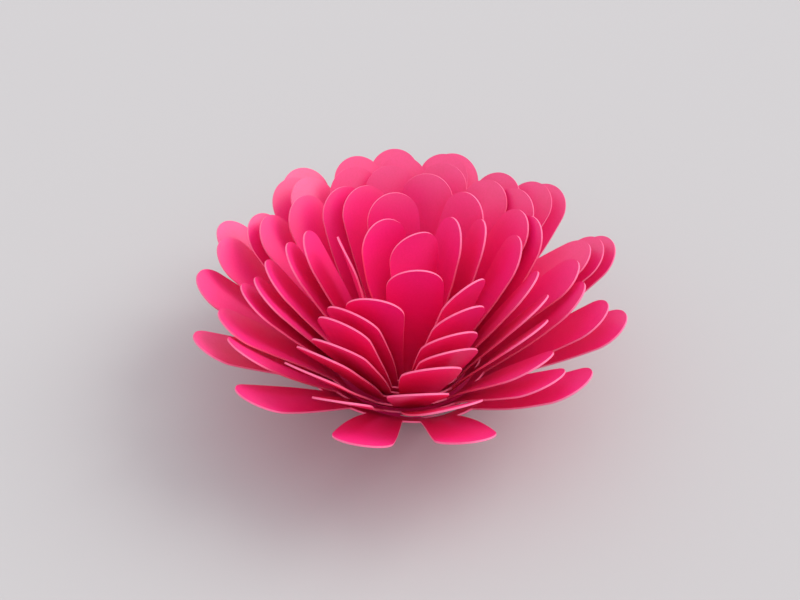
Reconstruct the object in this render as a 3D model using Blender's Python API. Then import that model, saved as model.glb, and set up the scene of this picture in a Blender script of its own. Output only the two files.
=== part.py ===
"""Rolled paper flower.

One sheet of card is cut as a spiral strip: a narrow band with tongue-shaped petals along its
outer edge, which runs into a round disc at the middle of the sheet. The strip is rolled up from
its outer end, so that end becomes the heart of the flower. The last turn drops under the roll
and the disc closes the bottom. Hot glue between the disc and the roll holds it all.

Metres, +Z up. The origin is the centre of the disc's underside, and the front is -Y.
"""

import math

import bmesh
import bpy
from mathutils import Vector

MM = 0.001
TURN = 2 * math.pi

# The card, and what is cut from it
CARD_THICKNESS = 0.3 * MM
BAND_WIDTH = 4.4 * MM
PETAL_LENGTH = 25.1 * MM
PETAL_WIDTH = 9.4 * MM
ROOT_WIDTH = 6.3 * MM
ROOT_GAP = 3.05 * MM
DISC_RADIUS = 12.5 * MM

# How the strip is rolled, turn by turn from the rim inwards: radius at the band's lower edge, as
# a share of the rim's, and how steeply the petals stand in degrees
RIM_RADIUS = 16.0 * MM
TURNS = ((1.00, 39), (0.91, 45), (0.83, 49), (0.725, 55), (0.66, 58),
         (0.595, 61), (0.505, 66), (0.445, 70), (0.32, 77), (0.205, 83))
HEART_RADIUS = 2.6 * MM
HEART_CURL = math.radians(12)
FLATTENING = 0.85
RIM_AZIMUTH = math.radians(-67)
RIM_SHIFT = 2.7 * MM
# Petals bent by hand, counted from the rim: more upright and turned aside, in degrees
HAND_BENDS = {
    0: (2, 12), 2: (-2, 2), 3: (-1, -4), 4: (1, 7), 6: (3, 3), 7: (0, 8), 8: (0, 18), 9: (1, -4),
    10: (0, 1), 11: (2, 16), 13: (3, 5), 14: (2, 12), 15: (1, 12), 16: (-2, 2), 18: (0, -4),
    20: (0, 5), 21: (0, 2), 22: (0, -13), 24: (-2, 0), 25: (2, 0), 27: (-2, 6), 28: (3, -1),
    29: (-4, -20), 31: (0, 7), 32: (0, 12), 33: (0, -6), 38: (-3, -6), 39: (2, 5), 40: (0, -5),
    41: (0, -9), 42: (0, 6), 46: (0, -3), 47: (5, 8), 48: (-2, -10), 49: (0, -8), 50: (2, -3),
    52: (3, 0), 55: (0, -8), 56: (4, 1), 57: (4, -3), 61: (0, 8), 62: (4, -16), 63: (2, 9),
    65: (0, 16), 67: (2, -20), 68: (2, 8), 69: (1, 10), 70: (2, -10), 71: (0, -14), 72: (3, -34),
    73: (9, -28),
}

# Where the last turn drops under the roll and runs into the disc
TAIL_SWEEP = math.radians(120)
TAIL_STRAIGHT = 0.3
JOIN_SWEEP = math.radians(60)

# Where the last turn stands off a little, and a run of hot glue shows in the slit
SLIT_AZIMUTH = math.radians(24)
SLIT_SWEEP = math.radians(100)
SLIT_OPENING = 1.1 * MM

# Hot glue, and the gap that it keeps to the card
SEAT = 0.3 * MM
PAD_THICKNESS = 0.6 * MM
PAD_RADIUS = 7.5 * MM
BEAD_DIAMETER = 0.6 * MM
BEAD_HEIGHT = 1.0 * MM
BEAD_SWEEP = math.radians(56)

# How finely the curved card is divided
ACROSS = 4
ALONG = 3
ROUND_TIP = 2
TAIL_STEPS = 14
JOIN_STEPS = 8
RIM_STEPS = 40
PAD_STEPS = 32
BEAD_STEPS = 14

CARD_PINK = (0.80, 0.03, 0.13, 1.0)
GLUE_WHITE = (0.86, 0.86, 0.84, 1.0)

# What follows from the sizes above
DISC_HEIGHT = CARD_THICKNESS / 2
ROLL_HEIGHT = CARD_THICKNESS * 1.5 + PAD_THICKNESS + 2 * SEAT


def clear_scene():
    for thing in list(bpy.data.objects):
        bpy.data.objects.remove(thing, do_unlink=True)


def smooth(share):
    """0 to 1 with level ends."""
    share = min(max(share, 0.0), 1.0)
    return share * share * (3 - 2 * share)


def mix(start, end, share):
    return start + (end - start) * share


def turn_value(angle, which):
    """A value of TURNS after winding inwards by this angle from the last petal."""
    turns = max(angle / TURN, 0)
    outer = min(int(turns), len(TURNS) - 2)
    return mix(TURNS[outer][which], TURNS[outer + 1][which], turns - outer)


def slit(angle):
    """How far the last turn stands off the roll here."""
    distance = abs(angle - (SLIT_AZIMUTH - RIM_AZIMUTH)) / (SLIT_SWEEP / 2)
    return SLIT_OPENING * smooth(1 - distance)


def roll_share(angle):
    """0 at the axis and 1 at the rim of the roll, by radius."""
    return turn_value(angle, 0)


def roll_radius(angle):
    """Radius at the band's lower edge."""
    return RIM_RADIUS * roll_share(angle) + slit(angle)


def petal_lean(angle):
    """How steeply a petal stands here, from its root to its tip."""
    return math.radians(turn_value(angle, 1))


def petal_curl(angle):
    """How much more level the petal's tip is than its root: most in the heart."""
    return HEART_CURL * (1 - roll_share(angle))


def band_lean(angle):
    return petal_lean(angle) + petal_curl(angle) / 2


def root_radius(angle):
    return roll_radius(angle) + BAND_WIDTH * math.cos(band_lean(angle))


def wind(angle, distance):
    """The winding angle after a further distance inwards along the petals' root line."""
    steps = 8
    for _ in range(steps):
        angle += distance / steps / root_radius(angle)
    return angle


def wind_strip():
    """Winding angles of the columns of each petal's root, from the rim to the heart."""
    petals = []
    angle = wind(0, -ROOT_WIDTH / 2)
    while roll_radius(angle) > HEART_RADIUS:
        columns = [angle]
        for _ in range(ACROSS):
            columns.append(wind(columns[-1], ROOT_WIDTH / ACROSS))
        petals.append(columns)
        angle = wind(columns[-1], ROOT_GAP)
    return petals


def outward(azimuth):
    """Level unit vector away from the roll's axis, turned from the front towards +X."""
    return Vector((math.sin(azimuth), -math.cos(azimuth), 0))


def sideways(azimuth):
    """Level unit vector round the roll, towards growing azimuth."""
    return Vector((math.cos(azimuth), math.sin(azimuth), 0))


def leaning(azimuth, lean):
    return outward(azimuth) * math.cos(lean) + Vector((0, 0, math.sin(lean)))


def roll_azimuth(angle):
    return RIM_AZIMUTH + angle


def roll_centre(angle):
    """The axis of the roll at its lower edge: the outer turns sit a little towards the back."""
    return Vector((0, RIM_SHIFT * roll_share(angle) ** 2, ROLL_HEIGHT))


def band_point(angle, rise):
    """Point of the band at this height up its slope."""
    azimuth = roll_azimuth(angle)
    slope = leaning(azimuth, band_lean(angle))
    return roll_centre(angle) + outward(azimuth) * roll_radius(angle) + slope * rise


def outline(side, row):
    """Half of a petal's flat outline: (across, along) for side -1 to 1 and a row of the grid."""
    half_root = ROOT_WIDTH / 2
    half = PETAL_WIDTH / 2
    straight = PETAL_LENGTH - half
    if row <= ALONG:
        share = row / ALONG
        width = mix(half_root, half, math.sin(share * math.pi / 2))
        return side * width, straight * share
    # The tip is half a circle: rows bulge more and more until the last lies on it.
    bulge = (row - ALONG) / ROUND_TIP * math.pi / 4
    across = half * math.cos(bulge) * math.sin(side * bulge) / math.sin(bulge)
    rise = math.cos(side * bulge) - math.cos(bulge)
    along = half * (math.sin(bulge) + math.cos(bulge) * rise / math.sin(bulge))
    return across, straight + along


def bent(width, curvature):
    """Where a point across the card goes when it is bent round: (sideways, inwards)."""
    return math.sin(curvature * width) / curvature, (1 - math.cos(curvature * width)) / curvature


def petal_slope(lean, curl, along):
    """(outwards, upwards) of a petal's middle line: it leans more level towards its tip."""
    share = along / PETAL_LENGTH
    middle = lean - curl * (share - 1) / 2
    return along * math.cos(middle), along * math.sin(middle)


def hand_bend(number):
    """How far this petal was bent by hand: (more upright, turned aside)."""
    lean, aside = HAND_BENDS.get(number, (0, 0))
    return math.radians(lean), math.radians(aside)


def petal_point(petal, bend, column, row):
    """A point of a petal, measured from the band point at the foot of its column."""
    angle = petal[ACROSS // 2]
    azimuth = roll_azimuth(angle)
    side = 2 * column / ACROSS - 1
    across, along = outline(side, row)
    root, _ = outline(side, 0)
    share = along / PETAL_LENGTH
    curvature = 1 / root_radius(angle)
    flatter = curvature * (1 - FLATTENING * smooth(share * 1.5))
    lean, aside = bend
    turned = azimuth + aside * smooth(share)
    out, up = petal_slope(petal_lean(angle) + lean * smooth(share), petal_curl(angle), along)
    wide, inward = bent(across, flatter)
    root_wide, root_inward = bent(root, curvature)
    return (
        band_point(petal[column], BAND_WIDTH)
        + outward(turned) * (out - inward)
        + sideways(turned) * wide
        + Vector((0, 0, up))
        + outward(azimuth) * root_inward
        - sideways(azimuth) * root_wide
    )


def add_petals(mesh):
    """Every petal and the band below it, as one sheet without thickness, from the rim inwards.

    Returns the outer end of the band, as (lower, upper) vertex.
    """
    first = last = None
    for number, petal in enumerate(wind_strip()):
        bend = hand_bend(number)
        low = [mesh.verts.new(band_point(angle, 0)) for angle in petal]
        rows = [[mesh.verts.new(band_point(angle, BAND_WIDTH)) for angle in petal]]
        for row in range(1, ALONG + ROUND_TIP + 1):
            points = [petal_point(petal, bend, c, row) for c in range(ACROSS + 1)]
            rows.append([mesh.verts.new(p) for p in points])
        for lower, upper in zip([low] + rows, rows):
            for c in range(ACROSS):
                mesh.faces.new((lower[c], lower[c + 1], upper[c + 1], upper[c]))
        if last:
            mesh.faces.new((last[0], low[0], rows[0][0], last[1]))
        last = (low[-1], rows[0][-1])
        first = first or (low[0], rows[0][0])
    return first


def add_tail(mesh, last):
    """The petal-free end of the band: it drops under the roll and lies down beside the disc."""
    end = wind(0, -ROOT_WIDTH / 2)
    for step in range(1, TAIL_STEPS + 1):
        share = step / TAIL_STEPS
        azimuth = roll_azimuth(end - TAIL_SWEEP * share)
        drop = smooth(share * 2)
        inward = max(share - TAIL_STRAIGHT, 0) / (1 - TAIL_STRAIGHT)
        centre = roll_centre(end).lerp(Vector((0, 0, DISC_HEIGHT)), drop)
        foot = centre + outward(azimuth) * mix(roll_radius(end), DISC_RADIUS, inward)
        low = mesh.verts.new(foot)
        high = mesh.verts.new(foot + leaning(azimuth, band_lean(end) * (1 - drop)) * BAND_WIDTH)
        mesh.faces.new((low, last[0], last[1], high))
        last = (low, high)
    return last


def disc_point(azimuth, radius):
    return outward(azimuth) * radius + Vector((0, 0, DISC_HEIGHT))


def add_disc(mesh, last):
    """The disc, whose rim the tail follows until it has run into it."""
    first = roll_azimuth(wind(0, -ROOT_WIDTH / 2) - TAIL_SWEEP)
    rim = [last[0]]
    for step in range(1, JOIN_STEPS):
        share = step / JOIN_STEPS
        azimuth = first - JOIN_SWEEP * share
        low = mesh.verts.new(disc_point(azimuth, DISC_RADIUS))
        high = mesh.verts.new(disc_point(azimuth, DISC_RADIUS + BAND_WIDTH * (1 - smooth(share))))
        mesh.faces.new((low, last[0], last[1], high))
        rim.append(low)
        last = (low, high)
    for step in range(RIM_STEPS):
        azimuth = first - JOIN_SWEEP - (TURN - JOIN_SWEEP) * step / RIM_STEPS
        rim.append(mesh.verts.new(disc_point(azimuth, DISC_RADIUS)))
    mesh.faces.new((rim[JOIN_STEPS], last[0], last[1]))
    centre = mesh.verts.new(disc_point(0, 0))
    for here, there in zip(rim, rim[1:] + rim[:1]):
        mesh.faces.new((centre, here, there))


def plain_material(name, colour, roughness):
    material = bpy.data.materials.new(name)
    material.use_nodes = True
    shader = material.node_tree.nodes["Principled BSDF"]
    shader.inputs["Base Color"].default_value = colour
    shader.inputs["Roughness"].default_value = roughness
    return material


def card_material():
    return plain_material("pink_card", CARD_PINK, 0.6)


def glue_material():
    return plain_material("hot_glue", GLUE_WHITE, 0.25)


def place(name, mesh, material):
    """An object with this mesh and material in the scene."""
    data = bpy.data.meshes.new(name)
    mesh.to_mesh(data)
    mesh.free()
    data.materials.append(material)
    thing = bpy.data.objects.new(name, data)
    bpy.context.scene.collection.objects.link(thing)
    return thing


def petal_strip():
    mesh = bmesh.new()
    last = add_petals(mesh)
    last = add_tail(mesh, last)
    add_disc(mesh, last)
    bmesh.ops.recalc_face_normals(mesh, faces=mesh.faces)
    strip = place("petal_strip", mesh, card_material())
    card = strip.modifiers.new("card", "SOLIDIFY")
    card.thickness = CARD_THICKNESS
    card.offset = 0
    card.use_even_offset = True
    return strip


def glue_pad():
    """The squeezed puddle of glue that the roll stands on, over the disc."""
    mesh = bmesh.new()
    bmesh.ops.create_cone(
        mesh,
        cap_ends=True,
        segments=PAD_STEPS,
        radius1=PAD_RADIUS,
        radius2=PAD_RADIUS,
        depth=PAD_THICKNESS,
    )
    pad = place("glue_pad", mesh, glue_material())
    pad.location.z = CARD_THICKNESS + SEAT + PAD_THICKNESS / 2
    edge = pad.modifiers.new("edge", "BEVEL")
    edge.width = PAD_THICKNESS * 0.4
    edge.segments = 2
    return pad


def glue_bead():
    """The run of glue in the slit between the last turn and the one inside it."""
    middle = SLIT_AZIMUTH - RIM_AZIMUTH
    curve = bpy.data.curves.new("glue_bead", "CURVE")
    curve.dimensions = "3D"
    curve.bevel_depth = BEAD_DIAMETER / 2
    curve.bevel_resolution = 2
    curve.use_fill_caps = True
    run = curve.splines.new("POLY")
    run.points.add(BEAD_STEPS)
    for step, point in enumerate(run.points):
        angle = middle + BEAD_SWEEP * (step / BEAD_STEPS - 0.5)
        outer = band_point(angle, BEAD_HEIGHT)
        inner = band_point(angle + TURN, BEAD_HEIGHT)
        point.co = (*outer.lerp(inner, 0.5), 1)
    curve.materials.append(glue_material())
    bead = bpy.data.objects.new("glue_bead", curve)
    bpy.context.scene.collection.objects.link(bead)
    return bead


def main():
    clear_scene()
    petal_strip()
    glue_pad()
    glue_bead()


main()
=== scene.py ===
import math

import bmesh
import bpy
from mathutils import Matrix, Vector, noise


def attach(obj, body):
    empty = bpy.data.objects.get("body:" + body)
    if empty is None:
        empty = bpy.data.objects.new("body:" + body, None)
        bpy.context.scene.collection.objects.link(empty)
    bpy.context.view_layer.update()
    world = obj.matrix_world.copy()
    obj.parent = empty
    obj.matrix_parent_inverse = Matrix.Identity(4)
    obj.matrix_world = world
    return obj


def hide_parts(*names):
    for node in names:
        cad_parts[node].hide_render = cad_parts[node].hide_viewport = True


# %% [markdown]
# # A flower rolled from one strip of card
#
# One sheet of pink card is cut in a spiral: a narrow band with tongue-shaped petals along its
# outer edge, which runs into a round disc at the middle of the sheet. Rolled up from its outer
# end, the band turns into a tight bud, and every petal leans out a little more than the one
# inside it. The disc closes the bottom, and hot glue holds it there.
#
# The solid model brings the size and the place of everything. Here the card gets its fine
# curves, its cut edges, its finish and its light.

# %% The frame
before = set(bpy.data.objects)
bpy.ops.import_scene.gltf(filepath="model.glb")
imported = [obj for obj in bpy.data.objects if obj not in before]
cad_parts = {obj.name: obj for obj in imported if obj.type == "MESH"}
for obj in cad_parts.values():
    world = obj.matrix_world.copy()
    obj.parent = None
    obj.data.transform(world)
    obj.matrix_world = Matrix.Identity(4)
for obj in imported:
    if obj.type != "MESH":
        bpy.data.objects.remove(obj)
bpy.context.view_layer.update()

# %% [markdown]
# ## The sizes
#
# The roll follows the same few sizes as the solid model, so the fine card lies where the solid
# card lies. A table gives each turn of the roll, from the rim inwards: the radius of its lower
# edge, as a share of the rim's, and how steeply its petals stand, in degrees. Many petals were
# bent by hand, by a few degrees: more upright or turned aside. A second table holds those, by the
# petal's number. The other numbers are those of the flat card.

# %% The sizes of the card and of the roll
MM = 0.001
TURN = 2 * math.pi

CARD_THICKNESS = 0.3 * MM
BAND_WIDTH = 4.4 * MM
PETAL_LENGTH = 25.1 * MM
PETAL_WIDTH = 9.4 * MM
ROOT_WIDTH = 6.3 * MM
ROOT_GAP = 3.05 * MM
DISC_RADIUS = 12.5 * MM

RIM_RADIUS = 16.0 * MM
TURNS = ((1.00, 39), (0.91, 45), (0.83, 49), (0.725, 55), (0.66, 58),
         (0.595, 61), (0.505, 66), (0.445, 70), (0.32, 77), (0.205, 83))
HEART_RADIUS = 2.6 * MM
HEART_CURL = math.radians(12)
FLATTENING = 0.85
FLATTENING_PACE = 1.5
RIM_AZIMUTH = math.radians(-67)
RIM_SHIFT = 2.7 * MM
HAND_BENDS = {
    0: (2, 12), 2: (-2, 2), 3: (-1, -4), 4: (1, 7), 6: (3, 3), 7: (0, 8), 8: (0, 18), 9: (1, -4),
    10: (0, 1), 11: (2, 16), 13: (3, 5), 14: (2, 12), 15: (1, 12), 16: (-2, 2), 18: (0, -4),
    20: (0, 5), 21: (0, 2), 22: (0, -13), 24: (-2, 0), 25: (2, 0), 27: (-2, 6), 28: (3, -1),
    29: (-4, -20), 31: (0, 7), 32: (0, 12), 33: (0, -6), 38: (-3, -6), 39: (2, 5), 40: (0, -5),
    41: (0, -9), 42: (0, 6), 46: (0, -3), 47: (5, 8), 48: (-2, -10), 49: (0, -8), 50: (2, -3),
    52: (3, 0), 55: (0, -8), 56: (4, 1), 57: (4, -3), 61: (0, 8), 62: (4, -16), 63: (2, 9),
    65: (0, 16), 67: (2, -20), 68: (2, 8), 69: (1, 10), 70: (2, -10), 71: (0, -14), 72: (3, -34),
    73: (9, -28),
}

TAIL_SWEEP = math.radians(120)
TAIL_STRAIGHT = 0.3
TAIL_DROP_PACE = 2
JOIN_SWEEP = math.radians(60)

SLIT_AZIMUTH = math.radians(24)
SLIT_SWEEP = math.radians(100)
SLIT_OPENING = 1.1 * MM

SEAT = 0.3 * MM
PAD_THICKNESS = 0.6 * MM
PAD_RADIUS = 7.5 * MM
BEAD_DIAMETER = 0.6 * MM
BEAD_HEIGHT = 1.0 * MM
BEAD_SWEEP = math.radians(56)

DISC_HEIGHT = CARD_THICKNESS / 2
ROLL_HEIGHT = CARD_THICKNESS * 1.5 + PAD_THICKNESS + 2 * SEAT

# %% [markdown]
# ## The camera
#
# The flower is seen from its front and from above. Everything is worked out from four facts
# about the view: the length of the lens, how steeply it looks down, how far away it is, and
# where the foot of the roll falls in a picture of 800 by 600.

# %% The camera
PICTURE = (800, 600)
LOOK_DOWN = math.radians(44.3)
DISTANCE = 199 * MM
LENS = 49.5
SENSOR = 36.0
ROLL_FOOT_IN_PICTURE = (410.1, 362.6)


def add_camera():
    focal = LENS / SENSOR * PICTURE[0]
    tilt = LOOK_DOWN - math.atan((ROLL_FOOT_IN_PICTURE[1] - PICTURE[1] / 2) / focal)
    turn = math.atan((ROLL_FOOT_IN_PICTURE[0] - PICTURE[0] / 2) / focal)
    foot = Vector((0, 0, ROLL_HEIGHT))
    place = foot + DISTANCE * Vector((0, -math.cos(LOOK_DOWN), math.sin(LOOK_DOWN)))
    bpy.ops.object.camera_add(location=place, rotation=(math.pi / 2 - tilt, 0, turn))
    camera = bpy.context.object
    camera.data.lens = LENS
    camera.data.sensor_width = SENSOR
    camera.data.clip_start = 0.01
    bpy.context.scene.camera = camera
    return camera


camera = add_camera()
print("camera", [round(c, 3) for c in camera.location])

# %% [markdown]
# ## One petal, cut flat
#
# All petals were cut to one shape: a tongue that widens from its root to a half-round tip. It is
# modelled once, flat, together with its length of band. A circle filled with a grid gives the
# tip, because a grid bends smoothly in every direction, which a fan of triangles doesn't. Half
# of the circle is cut off, and the cut edge is extruded row by row down to the root, each row a
# little narrower. A few more rows and two side strips make the band.

# %% Helpers for selecting
COLUMNS = 12
BODY_ROWS = 12
BAND_ROWS = 3
TINY = 0.01 * MM


def deselect_all():
    bpy.ops.object.select_all(action="DESELECT")


def edit(thing):
    deselect_all()
    thing.select_set(True)
    bpy.context.view_layer.objects.active = thing
    bpy.ops.object.mode_set(mode="EDIT")


def select_points(thing, test):
    """In edit mode, selects the points that pass the test, and what lies between them."""
    bpy.ops.mesh.select_mode(type="VERT")
    mesh = bmesh.from_edit_mesh(thing.data)
    for vertex in mesh.verts:
        vertex.select = test(vertex.co)
    mesh.select_flush_mode()
    bmesh.update_edit_mesh(thing.data)


# %% The flat petal
def body_width(share):
    """The tongue's width from its root, 0, to where its round tip starts, 1."""
    return ROOT_WIDTH + (PETAL_WIDTH - ROOT_WIDTH) * math.sin(share * math.pi / 2)


def extrude_row(thing, y, step, factor):
    """Extrudes the row of points at this height by one step, and narrows it."""
    select_points(thing, lambda point: abs(point.y - y) < TINY)
    bpy.ops.mesh.extrude_region_move(TRANSFORM_OT_translate={"value": (0, step, 0)})
    bpy.ops.transform.resize(value=(factor, 1, 1), center_override=(0, y + step, 0))
    return y + step


def flat_petal():
    half = PETAL_WIDTH / 2
    straight = PETAL_LENGTH - half
    deselect_all()
    bpy.ops.mesh.primitive_circle_add(
        vertices=4 * COLUMNS, radius=half, location=(0, straight, 0), fill_type="NOTHING"
    )
    petal = bpy.context.object
    petal.name = "flat_petal"
    bpy.ops.object.transform_apply(location=True, rotation=True, scale=True)
    edit(petal)
    bpy.ops.mesh.select_all(action="SELECT")
    bpy.ops.mesh.fill_grid(span=COLUMNS, offset=COLUMNS // 2)
    bpy.ops.mesh.select_all(action="SELECT")
    bpy.ops.mesh.bisect(plane_co=(0, straight, 0), plane_no=(0, 1, 0), clear_inner=True)
    select_points(petal, lambda point: abs(point.y - straight) < CARD_THICKNESS / 2)
    bpy.ops.transform.resize(value=(1, 0, 1), center_override=(0, straight, 0))
    y = straight
    for row in range(BODY_ROWS, 0, -1):
        factor = body_width((row - 1) / BODY_ROWS) / body_width(row / BODY_ROWS)
        y = extrude_row(petal, y, -straight / BODY_ROWS, factor)
    for _ in range(BAND_ROWS):
        y = extrude_row(petal, y, -BAND_WIDTH / BAND_ROWS, 1)
    for side in (-1, 1):
        edge = side * ROOT_WIDTH / 2
        select_points(petal, lambda point: abs(point.x - edge) < TINY and point.y < TINY)
        bpy.ops.mesh.extrude_region_move(
            TRANSFORM_OT_translate={"value": (side * ROOT_GAP / 2, 0, 0)}
        )
    bpy.ops.mesh.select_all(action="SELECT")
    bpy.ops.mesh.normals_make_consistent(inside=False)
    bpy.ops.object.mode_set(mode="OBJECT")
    return petal


pattern = flat_petal()
print("flat petal:", len(pattern.data.vertices), "points, in mm",
      [round(side * 1000, 1) for side in pattern.dimensions])

# %% [markdown]
# ## Rolling it up
#
# Rolling can't be done with a transform, because each petal ends up bent to another radius. So
# the roll is written down as a rule: it takes a point of the flat card and says where the point
# is after rolling. The band lies on a cone, which is wider and flatter in each turn further out.
# A petal starts bent round like its band, and straightens out towards its tip, as stiff card
# does.

# %% The rule of the roll
def smooth(share):
    """0 to 1 with level ends."""
    share = min(max(share, 0.0), 1.0)
    return share * share * (3 - 2 * share)


def mix(start, end, share):
    return start + (end - start) * share


def turn_value(angle, which):
    """A value of TURNS after winding inwards by this angle from the last petal."""
    turns = max(angle / TURN, 0)
    outer = min(int(turns), len(TURNS) - 2)
    return mix(TURNS[outer][which], TURNS[outer + 1][which], turns - outer)


def slit(angle):
    """How far the last turn stands off the roll here."""
    distance = abs(angle - (SLIT_AZIMUTH - RIM_AZIMUTH)) / (SLIT_SWEEP / 2)
    return SLIT_OPENING * smooth(1 - distance)


def roll_share(angle):
    """0 at the axis and 1 at the rim of the roll, by radius."""
    return turn_value(angle, 0)


def roll_radius(angle):
    return RIM_RADIUS * roll_share(angle) + slit(angle)


def petal_lean(angle):
    return math.radians(turn_value(angle, 1))


def petal_curl(angle):
    """How much more level a petal's tip is than its root."""
    return HEART_CURL * (1 - roll_share(angle))


def band_lean(angle):
    return petal_lean(angle) + petal_curl(angle) / 2


def root_radius(angle):
    return roll_radius(angle) + BAND_WIDTH * math.cos(band_lean(angle))


def wind(angle, distance):
    """The winding angle after a further distance inwards along the petals' root line."""
    steps = 8
    for _ in range(steps):
        angle += distance / steps / root_radius(angle)
    return angle


def outward(azimuth):
    """Level unit vector away from the roll's axis, turned from the front towards +X."""
    return Vector((math.sin(azimuth), -math.cos(azimuth), 0))


def sideways(azimuth):
    return Vector((math.cos(azimuth), math.sin(azimuth), 0))


def leaning(azimuth, lean):
    return outward(azimuth) * math.cos(lean) + Vector((0, 0, math.sin(lean)))


def roll_centre(angle):
    """The axis of the roll at its lower edge: the outer turns sit a little towards the back."""
    return Vector((0, RIM_SHIFT * roll_share(angle) ** 2, ROLL_HEIGHT))


def band_point(angle, rise):
    """The point of the band at this height up its slope."""
    azimuth = RIM_AZIMUTH + angle
    slope = leaning(azimuth, band_lean(angle))
    return roll_centre(angle) + outward(azimuth) * roll_radius(angle) + slope * rise


def bent(width, curvature):
    """Where a point across the card goes when it is bent round: (sideways, inwards)."""
    return math.sin(curvature * width) / curvature, (1 - math.cos(curvature * width)) / curvature


# %% The place of one point of a petal
def petal_point(angle, bend, x, y):
    """Where the flat petal's point (x, y) lies after rolling, for the petal at this angle."""
    if y <= 0:
        return band_point(wind(angle, x), BAND_WIDTH + y)
    azimuth = RIM_AZIMUTH + angle
    lean, aside = (math.radians(degrees) for degrees in bend)
    share = y / PETAL_LENGTH
    straight = PETAL_LENGTH - PETAL_WIDTH / 2
    root = x * ROOT_WIDTH / body_width(min(y / straight, 1))
    curvature = 1 / root_radius(angle)
    flatter = curvature * (1 - FLATTENING * smooth(share * FLATTENING_PACE))
    turned = azimuth + aside * smooth(share)
    slope = petal_lean(angle) + lean * smooth(share) - petal_curl(angle) * (share - 1) / 2
    wide, inward = bent(x, flatter)
    root_wide, root_inward = bent(root, curvature)
    return (
        band_point(wind(angle, root), BAND_WIDTH)
        + outward(turned) * (y * math.cos(slope) - inward)
        + sideways(turned) * wide
        + Vector((0, 0, y * math.sin(slope)))
        + outward(azimuth) * root_inward
        - sideways(azimuth) * root_wide
    )


# %% [markdown]
# ## The whole strip
#
# The flat petal is copied once for every petal of the strip, and each copy is rolled with the
# rule. Neighbours then meet at the middle of the gap between them: to a quarter of a millimetre in
# the tight heart, and far better elsewhere. Merging the points there makes one sheet. The tail of
# the band and the disc are added as a last length of sheet.

# %% Copies of the petal, rolled
def petal_angles():
    """The winding angle of each petal's middle, from the rim to the heart."""
    angles = []
    angle = 0.0
    while roll_radius(wind(angle, -ROOT_WIDTH / 2)) > HEART_RADIUS:
        angles.append(angle)
        angle = wind(angle, ROOT_WIDTH + ROOT_GAP)
    return angles


def rolled_copy(number, angle):
    copy = bpy.data.objects.new("petal", pattern.data.copy())
    bpy.context.scene.collection.objects.link(copy)
    bend = HAND_BENDS.get(number, (0, 0))
    for vertex in copy.data.vertices:
        vertex.co = petal_point(angle, bend, vertex.co.x, vertex.co.y)
    return copy


angles = petal_angles()
petals = [rolled_copy(number, angle) for number, angle in enumerate(angles)]
print(len(petals), "petals")

# %% The tail and the disc
TAIL_STEPS = 48
JOIN_STEPS = 24
RIM_STEPS = 120


def strip_end():
    return wind(0, -(ROOT_WIDTH + ROOT_GAP) / 2)


def tail_and_disc():
    """The petal-free end of the band, which drops under the roll and runs into the disc."""
    mesh = bmesh.new()
    end = strip_end()
    last = [mesh.verts.new(band_point(end, BAND_WIDTH * row / BAND_ROWS))
            for row in range(BAND_ROWS + 1)]
    for step in range(1, TAIL_STEPS + 1):
        share = step / TAIL_STEPS
        azimuth = RIM_AZIMUTH + end - TAIL_SWEEP * share
        drop = smooth(share * TAIL_DROP_PACE)
        inward = max(share - TAIL_STRAIGHT, 0) / (1 - TAIL_STRAIGHT)
        centre = roll_centre(end).lerp(Vector((0, 0, DISC_HEIGHT)), drop)
        foot = centre + outward(azimuth) * mix(roll_radius(end), DISC_RADIUS, inward)
        slope = leaning(azimuth, band_lean(end) * (1 - drop)) * BAND_WIDTH
        row = [mesh.verts.new(foot + slope * r / BAND_ROWS) for r in range(BAND_ROWS + 1)]
        for r in range(BAND_ROWS):
            mesh.faces.new((row[r], last[r], last[r + 1], row[r + 1]))
        last = row
    add_disc(mesh, last, RIM_AZIMUTH + end - TAIL_SWEEP)
    data = bpy.data.meshes.new("tail")
    mesh.to_mesh(data)
    mesh.free()
    tail = bpy.data.objects.new("tail", data)
    bpy.context.scene.collection.objects.link(tail)
    return tail


def add_disc(mesh, last, first):
    rim = [last[0]]
    for step in range(1, JOIN_STEPS):
        share = step / JOIN_STEPS
        azimuth = first - JOIN_SWEEP * share
        width = BAND_WIDTH * (1 - smooth(share))
        row = []
        for r in range(BAND_ROWS + 1):
            out = outward(azimuth) * (DISC_RADIUS + width * r / BAND_ROWS)
            row.append(mesh.verts.new(out + Vector((0, 0, DISC_HEIGHT))))
        for r in range(BAND_ROWS):
            mesh.faces.new((row[r], last[r], last[r + 1], row[r + 1]))
        rim.append(row[0])
        last = row
    for step in range(RIM_STEPS):
        azimuth = first - JOIN_SWEEP - (TURN - JOIN_SWEEP) * step / RIM_STEPS
        rim.append(mesh.verts.new(outward(azimuth) * DISC_RADIUS + Vector((0, 0, DISC_HEIGHT))))
    mesh.faces.new([rim[JOIN_STEPS]] + last)
    centre = mesh.verts.new((0, 0, DISC_HEIGHT))
    for here, there in zip(rim, rim[1:] + rim[:1]):
        mesh.faces.new((centre, here, there))


tail = tail_and_disc()

# %% One sheet
SEAM_MISFIT = 0.24 * MM
SEAMS_TOP = ROLL_HEIGHT + 2 * BAND_WIDTH

deselect_all()
for piece in petals + [tail]:
    piece.select_set(True)
bpy.context.view_layer.objects.active = tail
bpy.ops.object.join()
strip = bpy.context.object
strip.name = "rolled_card"
bpy.data.objects.remove(pattern)
edit(strip)
select_points(strip, lambda point: point.z < SEAMS_TOP)
bpy.ops.mesh.remove_doubles(threshold=SEAM_MISFIT)
bpy.ops.mesh.select_all(action="SELECT")
bpy.ops.mesh.normals_make_consistent(inside=False)
bpy.ops.object.mode_set(mode="OBJECT")

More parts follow.
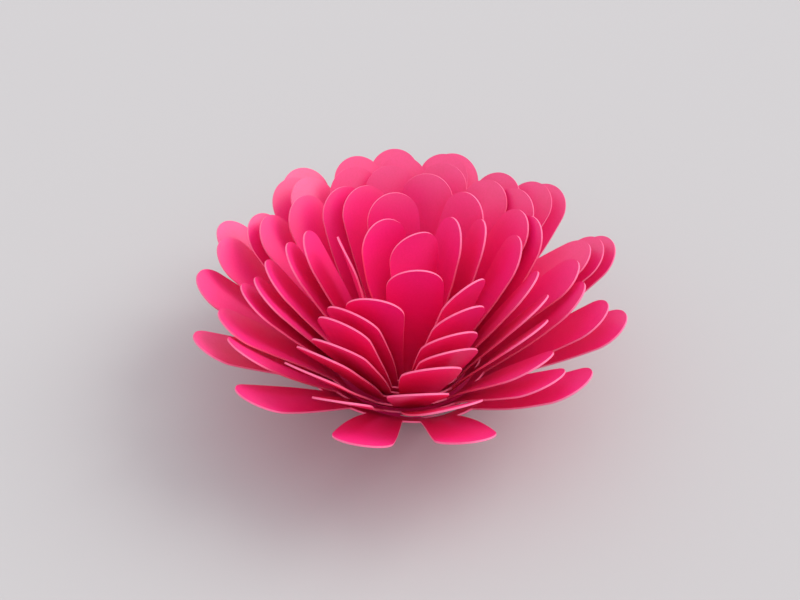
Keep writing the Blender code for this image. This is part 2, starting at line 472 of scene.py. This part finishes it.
# %% [markdown]
# ## Card
#
# Solid-dyed card is one colour all through. Its face is pressed smooth, with a faint fibre that
# shows as a slight unevenness of tone and as a soft sheen where light grazes it. A cut edge is
# rougher, and it is coloured paler: partly because the shears open the fibres there, and partly as
# a painted highlight for the edges that catch the light. Both get their unevenness from
# one group of nodes. A Solidify modifier gives the sheet its thickness, and can give the new rim
# a material of its own, so that no cut edge is picked by hand.

# %% A group for paper fibre
FIBRE_SCALE = 2600.0
CLOUD_SCALE = 160.0
FIBRE_DEPTH = 0.02 * MM
ROUGHNESS_SPREAD = 0.05
MIX_COLOUR_A = 6
MIX_COLOUR_B = 7
MIX_COLOUR_RESULT = 2


def fibre_group():
    """Noise at two scales: puts out a mask for tone and a height for bumps."""
    group = bpy.data.node_groups.new("paper_fibre", "ShaderNodeTree")
    for name in ("Fibre Scale", "Cloud Scale"):
        group.interface.new_socket(name, in_out="INPUT", socket_type="NodeSocketFloat")
    for name in ("Tone", "Height"):
        group.interface.new_socket(name, in_out="OUTPUT", socket_type="NodeSocketFloat")
    nodes, links = group.nodes, group.links
    given = nodes.new("NodeGroupInput")
    out = nodes.new("NodeGroupOutput")
    place = nodes.new("ShaderNodeTexCoord")
    fibre = nodes.new("ShaderNodeTexNoise")
    fibre.inputs["Detail"].default_value = 5.0
    fibre.inputs["Roughness"].default_value = 0.65
    cloud = nodes.new("ShaderNodeTexNoise")
    cloud.inputs["Detail"].default_value = 3.0
    both = nodes.new("ShaderNodeMix")
    both.inputs["Factor"].default_value = 0.5
    spread = nodes.new("ShaderNodeMapRange")
    spread.inputs["From Min"].default_value = 0.35
    spread.inputs["From Max"].default_value = 0.65
    for texture, scale in ((fibre, "Fibre Scale"), (cloud, "Cloud Scale")):
        links.new(place.outputs["Object"], texture.inputs["Vector"])
        links.new(given.outputs[scale], texture.inputs["Scale"])
    links.new(fibre.outputs["Fac"], both.inputs["A"])
    links.new(cloud.outputs["Fac"], both.inputs["B"])
    links.new(both.outputs["Result"], spread.inputs["Value"])
    links.new(spread.outputs["Result"], out.inputs["Tone"])
    links.new(fibre.outputs["Fac"], out.inputs["Height"])
    return group


paper_fibre = fibre_group()


def card(name, dark, light, roughness, relief_strength):
    """Card whose colour and roughness vary a little with the fibre."""
    material = bpy.data.materials.new(name)
    material.use_nodes = True
    nodes, links = material.node_tree.nodes, material.node_tree.links
    shader = nodes["Principled BSDF"]
    fibre = nodes.new("ShaderNodeGroup")
    fibre.node_tree = paper_fibre
    fibre.inputs["Fibre Scale"].default_value = FIBRE_SCALE
    fibre.inputs["Cloud Scale"].default_value = CLOUD_SCALE
    tone = nodes.new("ShaderNodeMix")
    tone.data_type = "RGBA"
    tone.inputs[MIX_COLOUR_A].default_value = dark
    tone.inputs[MIX_COLOUR_B].default_value = light
    rough = nodes.new("ShaderNodeMapRange")
    rough.inputs["To Min"].default_value = roughness + ROUGHNESS_SPREAD
    rough.inputs["To Max"].default_value = roughness - ROUGHNESS_SPREAD
    relief = nodes.new("ShaderNodeBump")
    relief.inputs["Strength"].default_value = relief_strength
    relief.inputs["Distance"].default_value = FIBRE_DEPTH
    links.new(fibre.outputs["Tone"], tone.inputs["Factor"])
    links.new(tone.outputs[MIX_COLOUR_RESULT], shader.inputs["Base Color"])
    links.new(fibre.outputs["Tone"], rough.inputs["Value"])
    links.new(rough.outputs["Result"], shader.inputs["Roughness"])
    links.new(fibre.outputs["Height"], relief.inputs["Height"])
    links.new(relief.outputs["Normal"], shader.inputs["Normal"])
    return material


# %% The card's face and its cut edge
SMOOTH_UNDER = math.radians(40)

face = card("pink_card", (0.90, 0.001, 0.175, 1), (0.98, 0.003, 0.23, 1), 0.48, 0.25)
face_shader = face.node_tree.nodes["Principled BSDF"]
face_shader.inputs["IOR"].default_value = 1.65
face_shader.inputs["Specular IOR Level"].default_value = 1.0
# The cut edge's paler pink is partly the opened fibre and partly a painted highlight on the lit
# edges.
edge = card("cut_edge_and_painted_highlight", (0.94, 0.12, 0.28, 1), (0.98, 0.20, 0.37, 1), 0.7, 0.5)

strip.data.materials.clear()
strip.data.materials.append(face)
strip.data.materials.append(edge)
thickness = strip.modifiers.new("card", "SOLIDIFY")
thickness.thickness = CARD_THICKNESS
thickness.offset = 0
thickness.use_even_offset = True
thickness.material_offset_rim = 1
deselect_all()
strip.select_set(True)
bpy.context.view_layer.objects.active = strip
bpy.ops.object.modifier_apply(modifier=thickness.name)
bpy.ops.object.shade_smooth_by_angle(angle=SMOOTH_UNDER)
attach(strip, "root")
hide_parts("petal_strip")
print("card:", sum(len(p.vertices) - 2 for p in strip.data.polygons), "triangles")

# %% [markdown]
# ## Hot glue
#
# The glue shows in two places. A run of it lies in the slit where the last turn stands off the
# roll. Squeezed glue is never an even rod: it swells and thins, so the tube is given a thickness
# that changes from point to point. The puddle on the disc shows from above, down in the heart. It
# starts as a sphere, which is pressed flat and gets an uneven rim and a lumpy top.

# %% The run of glue in the slit
BEAD_STEPS = 40
BEAD_NOISE_SCALE = 9
BEAD_FULLNESS = 0.85
BEAD_SWELLING = 0.35
BEAD_END = 0.25
BEAD_TAPER = 6


def glue_run():
    middle = SLIT_AZIMUTH - RIM_AZIMUTH
    curve = bpy.data.curves.new("glue_run", "CURVE")
    curve.dimensions = "3D"
    curve.bevel_depth = BEAD_DIAMETER / 2
    curve.bevel_resolution = 4
    curve.use_fill_caps = True
    run = curve.splines.new("POLY")
    run.points.add(BEAD_STEPS)
    for step, point in enumerate(run.points):
        share = step / BEAD_STEPS
        angle = middle + BEAD_SWEEP * (share - 0.5)
        outer = band_point(angle, BEAD_HEIGHT)
        inner = band_point(angle + TURN, BEAD_HEIGHT)
        point.co = (*outer.lerp(inner, 0.5), 1)
        lump = noise.noise(Vector((share * BEAD_NOISE_SCALE, 0, 0)))
        taper = min(1, BEAD_END + BEAD_TAPER * min(share, 1 - share))
        point.radius = (BEAD_FULLNESS + BEAD_SWELLING * lump) * taper
    glue = bpy.data.objects.new("glue_run", curve)
    bpy.context.scene.collection.objects.link(glue)
    deselect_all()
    glue.select_set(True)
    bpy.context.view_layer.objects.active = glue
    bpy.ops.object.convert(target="MESH")
    glue = bpy.context.object
    bpy.ops.object.shade_smooth()
    return glue


# %% The puddle of glue on the disc
RIM_NOISE_SCALE = 1.6
RIM_UNEVENNESS = 0.08
TOP_NOISE_SCALE = 5
TOP_UNEVENNESS = 0.15
PUDDLE_SQUARENESS = 6


def glue_puddle():
    """A ball pressed into a flat cake: wide, with a steep side and an uneven rim and top."""
    deselect_all()
    bpy.ops.mesh.primitive_uv_sphere_add(segments=72, ring_count=32, radius=1, location=(0, 0, 0))
    puddle = bpy.context.object
    puddle.name = "glue_puddle"
    middle = CARD_THICKNESS + SEAT + PAD_THICKNESS / 2
    for vertex in puddle.data.vertices:
        unit = vertex.co.copy()
        out = min(math.hypot(unit.x, unit.y), 1)
        around = Vector((unit.x, unit.y, 0)).normalized()
        rim = PAD_RADIUS * (1 - RIM_UNEVENNESS * (1 - noise.noise(around * RIM_NOISE_SCALE)))
        lump = 1 - TOP_UNEVENNESS * (1 - noise.noise(unit * TOP_NOISE_SCALE))
        fullness = (1 - out ** PUDDLE_SQUARENESS) ** (1 / PUDDLE_SQUARENESS)
        height = PAD_THICKNESS / 2 * fullness * lump
        flat = unit.xy * rim
        vertex.co = (flat.x, flat.y, middle + math.copysign(height, unit.z))
    bpy.ops.object.shade_smooth()
    return puddle


# %% Cloudy, shiny glue
def hot_glue():
    material = bpy.data.materials.new("hot_glue")
    material.use_nodes = True
    nodes, links = material.node_tree.nodes, material.node_tree.links
    shader = nodes["Principled BSDF"]
    place = nodes.new("ShaderNodeTexCoord")
    lumps = nodes.new("ShaderNodeTexNoise")
    lumps.inputs["Scale"].default_value = 900.0
    tone = nodes.new("ShaderNodeMix")
    tone.data_type = "RGBA"
    tone.inputs[MIX_COLOUR_A].default_value = (0.80, 0.78, 0.77, 1)
    tone.inputs[MIX_COLOUR_B].default_value = (0.92, 0.91, 0.90, 1)
    relief = nodes.new("ShaderNodeBump")
    relief.inputs["Strength"].default_value = 0.6
    relief.inputs["Distance"].default_value = 0.05 * MM
    links.new(place.outputs["Object"], lumps.inputs["Vector"])
    links.new(lumps.outputs["Fac"], tone.inputs["Factor"])
    links.new(tone.outputs[MIX_COLOUR_RESULT], shader.inputs["Base Color"])
    links.new(lumps.outputs["Fac"], relief.inputs["Height"])
    links.new(relief.outputs["Normal"], shader.inputs["Normal"])
    shader.inputs["Roughness"].default_value = 0.15
    return material


glue_material = hot_glue()
for glue, node in ((glue_run(), "glue_bead"), (glue_puddle(), "glue_pad")):
    glue.data.materials.clear()
    glue.data.materials.append(glue_material)
    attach(glue, "root")
    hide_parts(node)
    print(glue.name, len(glue.data.polygons), "faces")

# %% [markdown]
# ## Floor and light
#
# The flower stands on a pale table. A pale sky does most of the lighting and keeps the shadows
# soft. A little light from above brightens the petals' upper faces. More comes from the right,
# from behind: it gives the petals of the left side their pale sheen, and draws the shadow out
# to the left and the front.

# %% The floor
FLOOR_SIZE = 12.0


def add_floor():
    deselect_all()
    bpy.ops.mesh.primitive_plane_add(size=FLOOR_SIZE, location=(0, 0, 0))
    floor = bpy.context.object
    floor.name = "floor"
    material = bpy.data.materials.new("pale_table")
    material.use_nodes = True
    shader = material.node_tree.nodes["Principled BSDF"]
    shader.inputs["Base Color"].default_value = (0.512, 0.509, 0.490, 1)
    shader.inputs["Roughness"].default_value = 0.8
    shader.inputs["Specular IOR Level"].default_value = 0.2
    floor.data.materials.append(material)


add_floor()

# %% The light
def add_light(name, place, width, strength):
    """Even light from this side, as soft as a window that looks this wide, in degrees."""
    bpy.ops.object.light_add(type="SUN", location=place)
    light = bpy.context.object
    light.name = name
    light.data.angle = math.radians(width)
    light.data.energy = strength
    light.rotation_euler = Vector(place).to_track_quat("Z", "Y").to_euler()


add_light("window", (0.45, 0.30, 0.90), 46, 0.3)
add_light("doorway", (0.80, 0.25, 0.70), 40, 1.3)

world = bpy.data.worlds.new("sky")
bpy.context.scene.world = world
world.use_nodes = True
world.node_tree.nodes["Background"].inputs["Color"].default_value = (0.95, 0.92, 1.0, 1)
world.node_tree.nodes["Background"].inputs["Strength"].default_value = 1.0

bpy.context.scene.view_settings.view_transform = "Standard"
